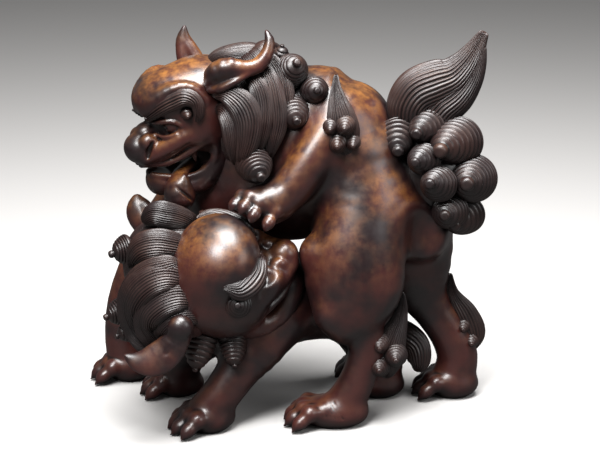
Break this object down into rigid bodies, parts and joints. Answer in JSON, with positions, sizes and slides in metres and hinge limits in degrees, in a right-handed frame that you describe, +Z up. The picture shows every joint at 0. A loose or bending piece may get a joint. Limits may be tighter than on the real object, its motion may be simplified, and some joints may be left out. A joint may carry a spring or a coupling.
{
  "type": "ceramic lion figurine",
  "caption": "Free-standing stoneware ornament of a guardian lion with open mouth and flame tail, resting a forepaw on the brow of its crouching cub.",
  "frame": {"origin": "middle of the bounding box on the plane of the soles", "axes": "+X towards the tail (to the right in the picture), +Y away from the viewer of the picture, +Z up"},
  "size_m": [0.365, 0.2012, 0.3425],
  "materials": {
    "stoneware_skin": "dark iron-brown unglazed stoneware, ochre ash bloom on upward faces, burnished to a semi-gloss",
    "stoneware_hair": "same stoneware, combed grooves left darker, warm brown on the curl tips, semi-gloss"
  },
  "bodies": {
    "root": {"lion_torso": "stoneware_skin", "lion_leg_hind_left": "stoneware_skin", "lion_leg_hind_right": "stoneware_skin", "lion_leg_fore_left": "stoneware_skin", "lion_leg_fore_right": "stoneware_skin", "lion_head": "stoneware_skin", "lion_jaw": "stoneware_skin", "lion_tongue": "stoneware_skin", "lion_brow_left": "stoneware_hair", "lion_brow_right": "stoneware_hair", "lion_ear_left": "stoneware_skin", "lion_ear_right": "stoneware_skin", "lion_mane": "stoneware_hair", "lion_crest": "stoneware_hair", "lion_lock_front_left": "stoneware_hair", "lion_lock_back_left": "stoneware_hair", "lion_lock_front_right": "stoneware_hair", "lion_lock_back_right": "stoneware_hair", "lion_mane_curl_1": "stoneware_hair", "lion_mane_curl_2": "stoneware_hair", "lion_mane_curl_3": "stoneware_hair", "lion_mane_curl_4": "stoneware_hair", "lion_mane_curl_5": "stoneware_hair", "lion_shoulder_tuft_left": "stoneware_hair", "lion_shoulder_tuft_right": "stoneware_hair", "lion_hock_tuft_left": "stoneware_hair", "lion_hock_tuft_right": "stoneware_hair", "lion_tail_root": "stoneware_hair", "lion_tail_plume": "stoneware_hair", "lion_tail_curl_1": "stoneware_hair", "lion_tail_curl_2": "stoneware_hair", "lion_tail_curl_3": "stoneware_hair", "lion_tail_curl_4": "stoneware_hair", "lion_tail_curl_5": "stoneware_hair", "lion_tail_curl_6": "stoneware_hair", "lion_tail_curl_7": "stoneware_hair", "lion_tail_curl_8": "stoneware_hair", "lion_tail_curl_9": "stoneware_hair", "cub_torso": "stoneware_skin", "cub_leg_fore_left": "stoneware_skin", "cub_leg_fore_right": "stoneware_skin", "cub_leg_hind_left": "stoneware_skin", "cub_leg_hind_right": "stoneware_skin", "cub_tail": "stoneware_hair", "cub_head": "stoneware_skin", "cub_jaw": "stoneware_skin", "cub_brow_left": "stoneware_hair", "cub_brow_right": "stoneware_hair", "cub_ear_left": "stoneware_skin", "cub_ear_right": "stoneware_skin", "cub_mane": "stoneware_hair", "cub_lock_top": "stoneware_hair", "cub_lock_middle": "stoneware_hair", "cub_lock_low": "stoneware_hair", "cub_mane_curl_1": "stoneware_hair", "cub_mane_curl_2": "stoneware_hair", "cub_mane_curl_3": "stoneware_hair", "cub_mane_curl_4": "stoneware_hair", "cub_mane_curl_5": "stoneware_hair"}
  },
  "joints": []
}
